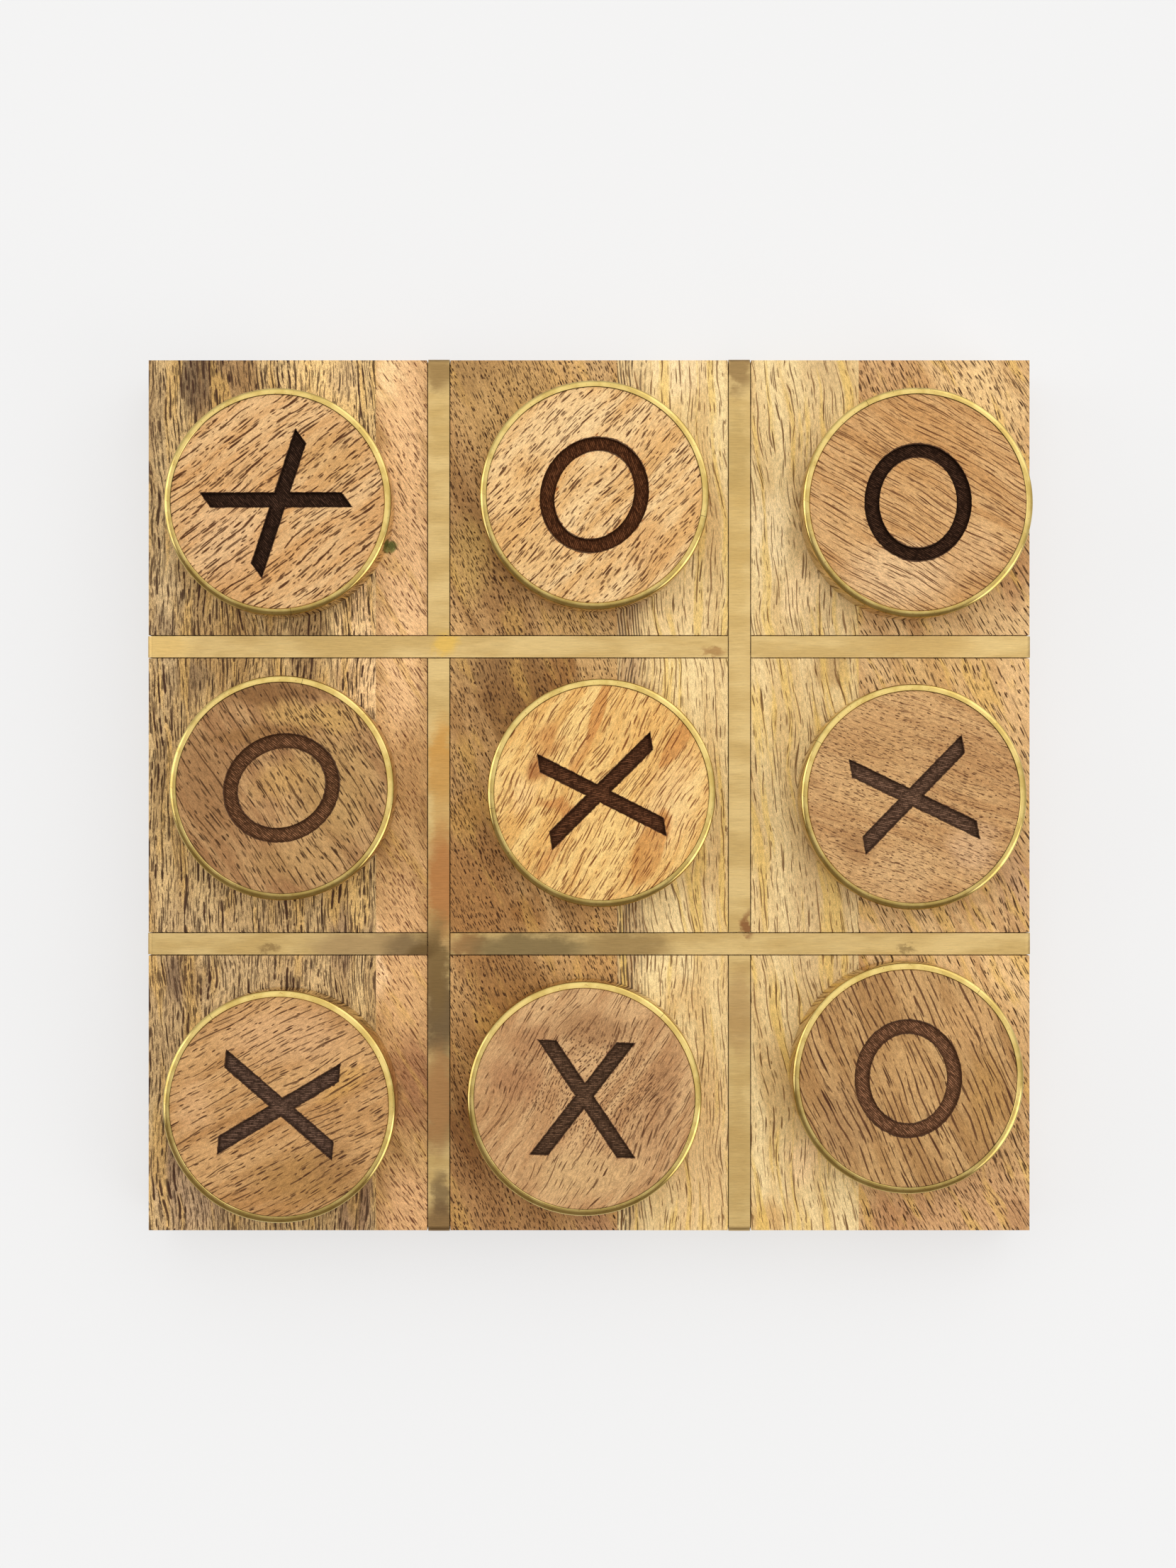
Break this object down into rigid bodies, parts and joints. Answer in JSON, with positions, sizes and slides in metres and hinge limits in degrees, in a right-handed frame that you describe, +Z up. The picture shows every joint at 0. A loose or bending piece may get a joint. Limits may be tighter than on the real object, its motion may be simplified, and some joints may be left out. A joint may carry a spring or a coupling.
{
  "type": "tic tac toe set",
  "caption": "Square wood game board with inlaid brass strips that form a three by three grid, and loose brass-hooped wood tokens engraved with X or O.",
  "frame": {"origin": "centre of the board's underside", "axes": "+X across the wood staves to the right, +Y along the staves to the back, +Z up from the playing face; the longer side of the board lies along X"},
  "size_m": [0.2038, 0.2012, 0.029],
  "materials": {
    "wood_olive_brown": "oiled mango wood, olive brown with dense dark lines, satin",
    "wood_peach_brown": "oiled mango wood, peach to orange brown with dark dashes, satin",
    "wood_pale_cream": "oiled mango wood, pale cream with fine dark lines, satin",
    "wood_warm_tan": "oiled mango wood, warm tan with short dark dots, satin",
    "token_wood": "oiled mango wood with a burnt engraving, satin",
    "inlay_brass": "brushed and slightly tarnished brass, satin",
    "hoop_brass": "polished brass"
  },
  "bodies": {
    "board": {"stave_1": "wood_olive_brown", "stave_2": "wood_peach_brown", "stave_3": "wood_pale_cream", "stave_4": "wood_warm_tan", "inlay_back_left": "inlay_brass", "inlay_back_right": "inlay_brass", "inlay_front_left": "inlay_brass", "inlay_front_right": "inlay_brass", "inlay_left_back": "inlay_brass", "inlay_left_front": "inlay_brass", "inlay_right_back": "inlay_brass", "inlay_right_front": "inlay_brass"},
    "token_back_left": {"disc_back_left": "token_wood", "hoop_back_left": "hoop_brass"},
    "token_back_centre": {"disc_back_centre": "token_wood", "hoop_back_centre": "hoop_brass"},
    "token_back_right": {"disc_back_right": "token_wood", "hoop_back_right": "hoop_brass"},
    "token_middle_left": {"disc_middle_left": "token_wood", "hoop_middle_left": "hoop_brass"},
    "token_middle_centre": {"disc_middle_centre": "token_wood", "hoop_middle_centre": "hoop_brass"},
    "token_middle_right": {"disc_middle_right": "token_wood", "hoop_middle_right": "hoop_brass"},
    "token_front_left": {"disc_front_left": "token_wood", "hoop_front_left": "hoop_brass"},
    "token_front_centre": {"disc_front_centre": "token_wood", "hoop_front_centre": "hoop_brass"},
    "token_front_right": {"disc_front_right": "token_wood", "hoop_front_right": "hoop_brass"}
  },
  "joints": [
    {"name": "lift_back_left", "type": "slide", "parent": "board", "child": "token_back_left", "axis": [0, 0, 1], "range_m": [0, 0.05]},
    {"name": "lift_back_centre", "type": "slide", "parent": "board", "child": "token_back_centre", "axis": [0, 0, 1], "range_m": [0, 0.05]},
    {"name": "lift_back_right", "type": "slide", "parent": "board", "child": "token_back_right", "axis": [0, 0, 1], "range_m": [0, 0.05]},
    {"name": "lift_middle_left", "type": "slide", "parent": "board", "child": "token_middle_left", "axis": [0, 0, 1], "range_m": [0, 0.05]},
    {"name": "lift_middle_centre", "type": "slide", "parent": "board", "child": "token_middle_centre", "axis": [0, 0, 1], "range_m": [0, 0.05]},
    {"name": "lift_middle_right", "type": "slide", "parent": "board", "child": "token_middle_right", "axis": [0, 0, 1], "range_m": [0, 0.05]},
    {"name": "lift_front_left", "type": "slide", "parent": "board", "child": "token_front_left", "axis": [0, 0, 1], "range_m": [0, 0.05]},
    {"name": "lift_front_centre", "type": "slide", "parent": "board", "child": "token_front_centre", "axis": [0, 0, 1], "range_m": [0, 0.05]},
    {"name": "lift_front_right", "type": "slide", "parent": "board", "child": "token_front_right", "axis": [0, 0, 1], "range_m": [0, 0.05]}
  ]
}
